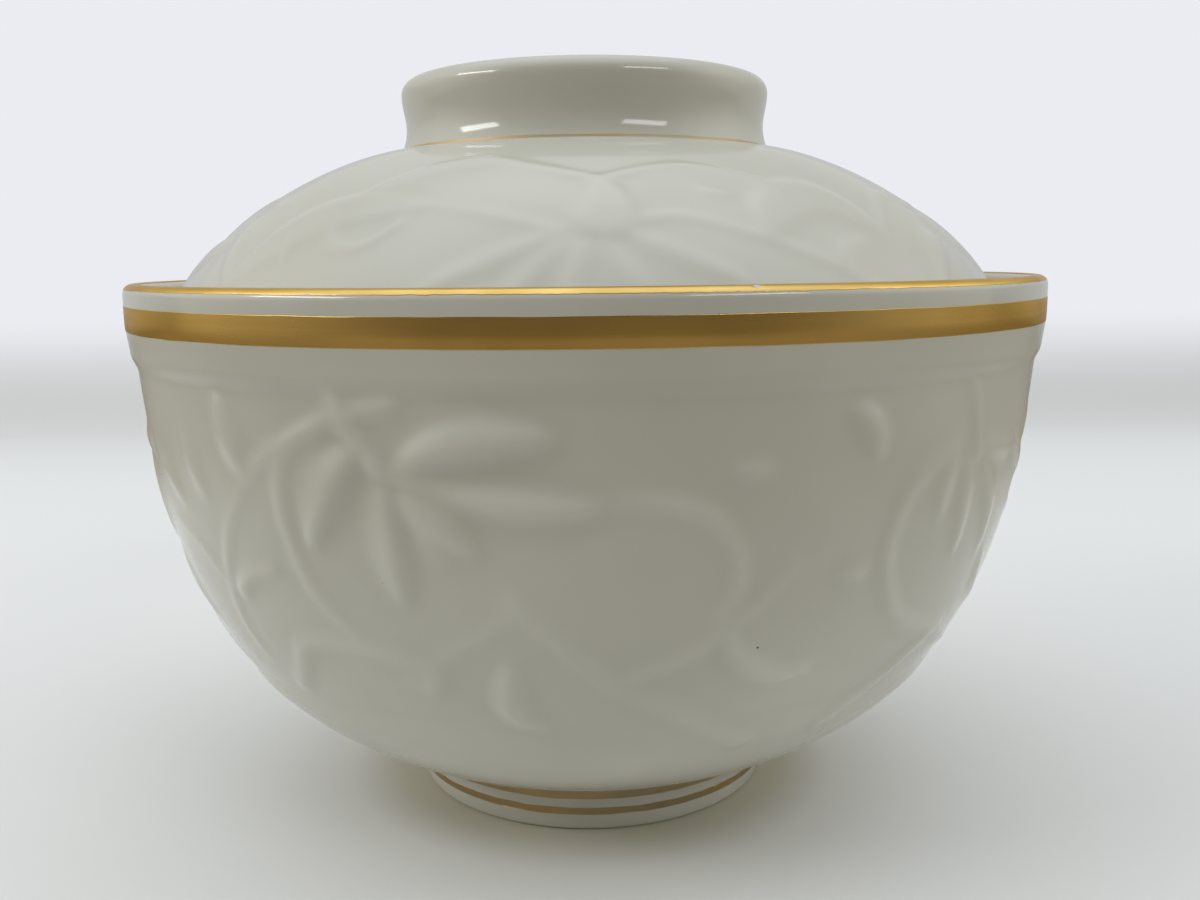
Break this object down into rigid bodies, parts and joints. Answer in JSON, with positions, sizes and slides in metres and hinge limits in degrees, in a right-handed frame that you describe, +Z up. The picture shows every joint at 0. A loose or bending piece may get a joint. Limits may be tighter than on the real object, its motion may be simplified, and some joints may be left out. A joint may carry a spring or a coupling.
{
  "type": "lidded bowl",
  "caption": "Moulded porcelain bowl on a foot ring, with a domed drop-in lid whose ring grip lets it stand upside down, and gilt lines at lip, rim and foot.",
  "frame": {"origin": "centre of the foot ring, on the surface that the bowl stands on", "axes": "+Z up along the axis of the bowl and the lid; -Y faces the viewer of the reference picture, +X is to the right"},
  "size_m": [0.124, 0.124, 0.0986],
  "materials": {
    "porcelain": "gloss",
    "gilding": "satin"
  },
  "bodies": {
    "bowl": {"bowl_body": "porcelain", "lip_gilding": "gilding", "band_gilding": "gilding", "foot_line_low": "gilding", "foot_line_high": "gilding"},
    "lid": {"lid_body": "porcelain", "grip_line": "gilding"}
  },
  "joints": [
    {"name": "lid_lift", "type": "slide", "parent": "bowl", "child": "lid", "axis": [0, 0, 1], "range_m": [0, 0.1]}
  ]
}
